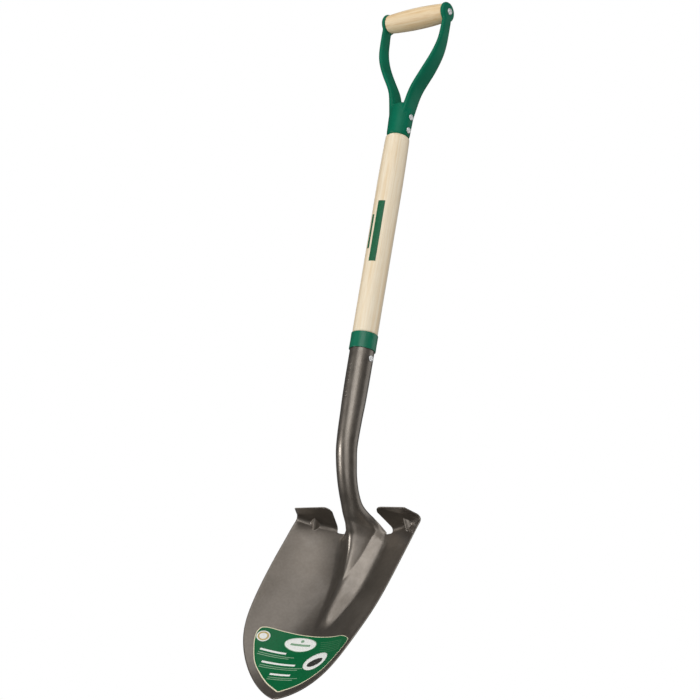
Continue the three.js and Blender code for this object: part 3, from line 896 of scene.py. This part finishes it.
def make_socket_ticks():
    """A row of short raised ticks in the place of the stamped letters."""
    for k in range(TICK_COUNT):
        z = COLLAR_TOP_Z - 51 - TICK_PITCH * k
        low, high = z - 0.9, z + 0.9
        start, end = (-27, -2) if k % 2 == 0 else (-24, -5)
        tick = wrapped_bar(f"socket_tick_{k}", low, high, start, end, over_socket, 0.9, STEEL)
        settle(tick, "shovel", "blade_steel")


make_shaft_print()
make_socket_ticks()


# ---- shaft, collar, rivets ------------------------------------------------------------


def make_shaft():
    low = COLLAR_TOP_Z - 118
    profile = [(0, low), (13.6, low), (15, COLLAR_TOP_Z - 60), (15.4, COLLAR_TOP_Z - 2)]
    profile += [(17.6, COLLAR_TOP_Z - 0.8), (SHAFT_BOTTOM_RADIUS, COLLAR_TOP_Z + 1)]
    for k in range(1, 9):
        radius = lerp(SHAFT_BOTTOM_RADIUS, SHAFT_RADIUS, k / 8)
        profile.append((radius, lerp(COLLAR_TOP_Z + 1, SHAFT_TAPER_Z, k / 8)))
    top = YOKE_RIM_Z - 0.3
    profile += [(18.9, -232), (18.3, top - 8), (18, top - 1), (17.3, top)]
    profile += [(15.2, top), (15.2, top + 46), (13, top + 48), (0, top + 48)]
    shaft = lathe("ash_shaft", rounded(profile, 1.6), WIDE_SIDES, SHAFT_WOOD)
    settle(shaft, "shovel", "shaft_wood", "shaft")


def make_collar():
    bottom = COLLAR_TOP_Z - 25.5
    profile = [(18.4, bottom), (19.7, bottom), (19.6, bottom + 5), (19.5, bottom + 12),
               (19.7, COLLAR_TOP_Z - 1.2), (18.5, COLLAR_TOP_Z - 1.1), (18.4, bottom)]
    collar = lathe("socket_collar", rounded(profile, 0.7), WIDE_SIDES, PLASTIC)
    settle(collar, "shovel", "green_plastic", "collar")


def two_headed(head):
    """The outline of a pin with the same head at each end, from half of it."""
    right = rounded(head, 0.5)
    return [(r, -x) for r, x in reversed(right)] + right


def make_rivet(node, z, radius, face):
    """A domed rivet with a small dimple on each head, at a height, from its pin's radius
    and the distance of the surface under its heads."""
    inner = face + 0.3
    outer = inner + 2
    head = [(radius, inner), (4.8, inner), (4.7, inner + 0.7), (3.4, outer - 0.25), (1.5, outer),
            (0.9, outer - 0.5), (0, outer - 0.6)]
    rivet = lathe(node + "_zinc", two_headed(head), RIVET_SIDES, ZINC, "X", z)
    settle(rivet, "shovel", "rivet_metal", node)


make_shaft()
make_collar()
make_rivet("socket_rivet", COLLAR_TOP_Z - 38.4, 2.6, 17.95)
make_rivet("yoke_rivet_lower", YOKE_RIM_Z + 10.2, 2.4, 17.95)
make_rivet("yoke_rivet_upper", YOKE_RIM_Z + 31.8, 2.4, 18.55)


# ---- yoke -----------------------------------------------------------------------------

ARM_PATH = [(13, 20), (17, 44), (20.4, 62), (23.6, 75), (30, 87), (42.5, 109), (53.6, 133),
            (58.6, 154), (59.5, 172), (59.5, 203)]
arm_thickness = curve_through(
    [(0, 12), (0.2, 9.4), (0.4, 8.2), (0.65, 7.6), (0.85, 6.8), (0.9, 6.2), (1, 6)])
arm_half_width = curve_through(
    [(0, 14.5), (0.25, 14.5), (0.45, 14.8), (0.62, 13.2), (0.8, 10.4), (1, 9.8)])
ARM_ROWS = 70
ARM_SIDES = 40
BOSS_INNER_X = 52.8
BOSS_OUTER_X = 59.5
BOSS_RADIUS = 16
CUP_RADIUS = 11.8
CUP_FLOOR_X = 56.4
YOKE_VOXEL = 0.8
YOKE_EASING = 14  # how many times the melted skin is eased


def arm_line():
    """The arm's outer line, resampled evenly and eased."""
    path = np.array(ARM_PATH, float)
    gaps = np.linalg.norm(np.diff(path, axis=0), axis=1)
    travelled = np.concatenate([[0], np.cumsum(gaps)])
    across = curve_through(list(zip(travelled, path[:, 0])))
    up = curve_through(list(zip(travelled, path[:, 1])))
    line = np.array([(across(u), up(u)) for u in spaced(0, travelled[-1], ARM_ROWS)])
    for _ in range(14):
        line[1:-1] = (line[:-2] + 2 * line[1:-1] + line[2:]) / 4
    return line


def arm_data(side):
    """A flattened tube: thin across and wide along Y."""
    line = arm_line()
    tangents = np.gradient(line, axis=0)
    vertices, faces = [], []
    for i, ((x, z), tangent) in enumerate(zip(line, tangents)):
        u = i / ARM_ROWS
        tx, tz = tangent / np.linalg.norm(tangent)
        for j in range(ARM_SIDES):
            angle = 2 * math.pi * j / ARM_SIDES
            c, s = math.cos(angle), math.sin(angle)
            depth = arm_thickness(u) * (1 - math.copysign(abs(c) ** 0.7, c)) / 2
            y = -arm_half_width(u) * math.copysign(abs(s) ** 0.7, s)
            vertices.append((side * (x - tz * depth), y, z + tx * depth + YOKE_RIM_Z))
    for i in range(ARM_ROWS):
        for j in range(ARM_SIDES):
            a, b = i * ARM_SIDES + j, i * ARM_SIDES + (j + 1) % ARM_SIDES
            face = (a, a + ARM_SIDES, b + ARM_SIDES, b)
            faces.append(face if side > 0 else face[::-1])
    last = ARM_ROWS * ARM_SIDES
    low = tuple(range(ARM_SIDES))
    high = tuple(range(last + ARM_SIDES - 1, last - 1, -1))
    faces += [low, high] if side > 0 else [low[::-1], high[::-1]]
    return vertices, faces


def on_side(side, vertices, faces):
    """A shape made for the right side, mirrored where it is wanted on the left."""
    if side < 0:
        vertices = [(-x, y, z) for x, y, z in vertices]
        faces = [f[::-1] for f in faces]
    return vertices, faces


def boss_data(side):
    profile = [(0, BOSS_INNER_X), (15.8, BOSS_INNER_X), (BOSS_RADIUS, 53.6), (15.9, 55.6),
               (14.8, 57.9), (12.2, 59.1), (6, BOSS_OUTER_X), (0, BOSS_OUTER_X)]
    return on_side(side, *lathe_data(rounded(profile, 0.8), YOKE_SIDES, "X", GRIP_AXIS_Z))


def cup_data(side):
    """The recess for the grip's end, with the rod's hole through the boss behind it."""
    profile = [(0, 42), (CUP_RADIUS, 42), (CUP_RADIUS, CUP_FLOOR_X),
               (ROD_HOLE_RADIUS, CUP_FLOOR_X), (ROD_HOLE_RADIUS, 62), (0, 62)]
    return on_side(side, *lathe_data(profile, YOKE_SIDES, "X", GRIP_AXIS_Z))


def yoke_socket_data():
    rim = YOKE_RIM_Z
    profile = [(0, rim), (17.5, rim), (17.9, rim + 14), (18.5, rim + 32), (18.3, rim + 46),
               (15.5, rim + 53), (8, rim + 57), (0, rim + 58)]
    vertices, faces = lathe_data(rounded(profile, 6), YOKE_SIDES)

    def flatness(z):
        """Above the rivets the round socket flattens front to back, as the arms are."""
        return 1 - 0.12 * smooth(rim + 34, rim + 62, z)

    return [(x, y * flatness(z), z) for x, y, z in vertices], faces


def joined(name, *parts):
    """One object from several overlapping solids."""
    vertices, faces = [], []
    for more_vertices, more_faces in parts:
        start = len(vertices)
        vertices += more_vertices
        faces += [tuple(start + k for k in f) for f in more_faces]
    return mesh_object(name, vertices, faces, ENAMEL)


def apply_modifiers(piece):
    """Swaps the piece's mesh for what its modifiers make of it."""
    bpy.context.view_layer.update()
    graph = bpy.context.evaluated_depsgraph_get()
    mesh = bpy.data.meshes.new_from_object(piece.evaluated_get(graph))
    piece.modifiers.clear()
    piece.data = mesh


def fuse(piece, voxel, passes):
    """Melts overlapping solids into one skin and eases the joints between them."""
    remesh = piece.modifiers.new("remesh", "REMESH")
    remesh.mode = "VOXEL"
    remesh.voxel_size = voxel * MM
    ease = piece.modifiers.new("ease", "SMOOTH")
    ease.factor = 0.5
    ease.iterations = passes
    apply_modifiers(piece)


def cut(piece, tool):
    """Takes the tool's shape out of the piece, and removes the tool."""
    less = piece.modifiers.new("less", "BOOLEAN")
    less.operation = "DIFFERENCE"
    less.solver = "EXACT"
    less.object = tool
    apply_modifiers(piece)
    bpy.data.objects.remove(tool)


def make_yoke():
    parts = [yoke_socket_data()]
    for side in (1, -1):
        parts += [arm_data(side), boss_data(side)]
    yoke = joined("steel_yoke", *parts)
    fuse(yoke, YOKE_VOXEL, YOKE_EASING)
    rim = YOKE_RIM_Z
    bore = [(0, rim - 2), (16.2, rim - 2), (15.5, rim + 0.5), (15.5, rim + 49), (0, rim + 49)]
    cut(yoke, lathe("bore_tool", rounded(bore, 0.5), YOKE_SIDES, ENAMEL))
    for side in (1, -1):
        cut(yoke, mesh_object("cup_tool", *cup_data(side), ENAMEL))
    yoke.data.shade_smooth()
    yoke.data.set_sharp_from_angle(angle=SMOOTH_ANGLE)
    settle(yoke, "shovel", "green_paint", "yoke")


make_yoke()


# ---- grip and its rod -----------------------------------------------------------------


GRIP_HALF_LENGTH = 52.5
GRIP_MIDDLE_RADIUS = 16.7
GRIP_END_RADIUS = 14.2
ROD_HEAD_X = 59.8


def make_grip():
    half = GRIP_HALF_LENGTH
    barrel = [(lerp(GRIP_MIDDLE_RADIUS, GRIP_END_RADIUS, s * s), s * (half - 1.2))
              for s in spaced(-1, 1, 40)]
    end = [(13.6, half - 0.2), (13, half), (11.5, half), (11.5, half + 3.6),
           (ROD_HOLE_RADIUS, half + 3.6)]
    profile = [(r, -x) for r, x in reversed(end)] + barrel + end
    profile.append(profile[0])
    outline = rounded(profile, 0.6, 3)
    grip = lathe("ash_grip", outline, WIDE_SIDES, GRIP_WOOD, "X", GRIP_AXIS_Z)
    settle(grip, "grip", "grip_wood", "grip")


def make_grip_rod():
    inner = ROD_HEAD_X
    head = [(3, inner), (5.3, inner), (5.2, inner + 0.8), (3.9, inner + 2.1), (1.6, inner + 2.6),
            (1, inner + 2.1), (0, inner + 2)]
    rod = lathe("grip_rod_zinc", two_headed(head), RIVET_SIDES, ZINC, "X", GRIP_AXIS_Z)
    settle(rod, "shovel", "rivet_metal", "grip_rod")


make_grip()
make_grip_rod()


# ---- floor, light and camera ----------------------------------------------------------

# fitted to the outlines in the photo: angles in radians, places in metres, and the sensor
# and lens in millimetres
CAMERA_AZIMUTH = 0.69447
CAMERA_ELEVATION = -0.30458
CAMERA_ROLL = 0.16765
CAMERA_DISTANCE = 2.48834
TARGET_RIGHT = -0.01751
TARGET_Z = -0.52786
SENSOR = 36.0
LENS = 88.695257

TOWARD_CAMERA = Vector((
    math.sin(CAMERA_AZIMUTH) * math.cos(CAMERA_ELEVATION),
    -math.cos(CAMERA_AZIMUTH) * math.cos(CAMERA_ELEVATION),
    math.sin(CAMERA_ELEVATION),
))
RIGHT = Vector((math.cos(CAMERA_AZIMUTH), math.sin(CAMERA_AZIMUTH), 0))
UP = TOWARD_CAMERA.cross(RIGHT)

LIGHT_DISTANCE = 3
WORLD_GREY = 0.1
FLOOR_HALF_SIZE = 14.0
FLOOR_Z = -2.4
FLOOR_CELLS = 8


def make_camera():
    data = bpy.data.cameras.new("camera")
    data.lens = LENS
    data.sensor_width = SENSOR
    camera = bpy.data.objects.new("camera", data)
    bpy.context.scene.collection.objects.link(camera)
    across = RIGHT * math.cos(CAMERA_ROLL) + UP * math.sin(CAMERA_ROLL)
    upward = -RIGHT * math.sin(CAMERA_ROLL) + UP * math.cos(CAMERA_ROLL)
    target = RIGHT * TARGET_RIGHT + Vector((0, 0, TARGET_Z))
    turn = Matrix((across, upward, TOWARD_CAMERA)).transposed().to_4x4()
    camera.matrix_world = Matrix.Translation(target + TOWARD_CAMERA * CAMERA_DISTANCE) @ turn
    bpy.context.scene.camera = camera


def make_light(name, direction, size, power):
    """A soft round light facing the shovel's middle: its size in metres, power in watts."""
    middle = Vector((0, 0, TARGET_Z))
    data = bpy.data.lights.new(name, "AREA")
    data.shape = "DISK"
    data.size = size
    data.energy = power
    lamp = bpy.data.objects.new(name, data)
    bpy.context.scene.collection.objects.link(lamp)
    away = direction.normalized()
    turn = away.to_track_quat("Z", "Y").to_matrix().to_4x4()
    lamp.matrix_world = Matrix.Translation(middle + away * LIGHT_DISTANCE) @ turn


def make_floor():
    """A pale floor that no bounce, reflection or shadow on the shovel takes part in."""
    mesh = bpy.data.meshes.new("floor")
    grid = spaced(-FLOOR_HALF_SIZE, FLOOR_HALF_SIZE, FLOOR_CELLS)
    points = [(x, y, FLOOR_Z) for y in grid for x in grid]
    n = len(grid)
    faces = [(r * n + c, r * n + c + 1, (r + 1) * n + c + 1, (r + 1) * n + c)
             for r in range(n - 1) for c in range(n - 1)]
    mesh.from_pydata(points, [], faces)
    mesh.materials.append(floor_look())
    floor = bpy.data.objects.new("floor", mesh)
    bpy.context.scene.collection.objects.link(floor)
    floor.visible_diffuse = False
    floor.visible_glossy = False
    floor.visible_shadow = False


def make_world():
    """White where the camera looks past the shovel, a softer grey as light on it."""
    world = bpy.data.worlds.new("studio")
    world.use_nodes = True
    tree = world.node_tree
    background = tree.nodes["Background"]
    background.inputs["Color"].default_value = (WORLD_GREY, WORLD_GREY, WORLD_GREY, 1)
    white = tree.nodes.new("ShaderNodeBackground")
    white.inputs["Color"].default_value = (1, 1, 1, 1)
    path = tree.nodes.new("ShaderNodeLightPath")
    mix = tree.nodes.new("ShaderNodeMixShader")
    tree.links.new(path.outputs["Is Camera Ray"], mix.inputs[0])
    tree.links.new(background.outputs[0], mix.inputs[1])
    tree.links.new(white.outputs[0], mix.inputs[2])
    tree.links.new(mix.outputs[0], tree.nodes["World Output"].inputs["Surface"])
    bpy.context.scene.world = world


make_camera()
make_light("key", Vector((0.33, -0.8, 0.36)), 2.4, 33)
make_light("front", TOWARD_CAMERA + UP * 0.1, 2.4, 21)
make_light("upper_right", Vector((0.7, -0.28, 0.66)), 1.3, 10)
make_light("overhead", Vector((0.0, -0.4, 0.9)), 2.2, 13)
make_light("low_left", Vector((-0.58, -0.78, -0.17)), 0.9, 34)
make_light("back", Vector((0.6, 0.75, 0.3)), 2.6, 14)
make_light("back_left", Vector((-0.5, 0.75, -0.45)), 1.6, 1.5)
make_light("low_back", Vector((0.68, 0.3, -0.66)), 2.0, 16)
make_floor()
make_world()
bpy.context.scene.view_settings.view_transform = "Standard"
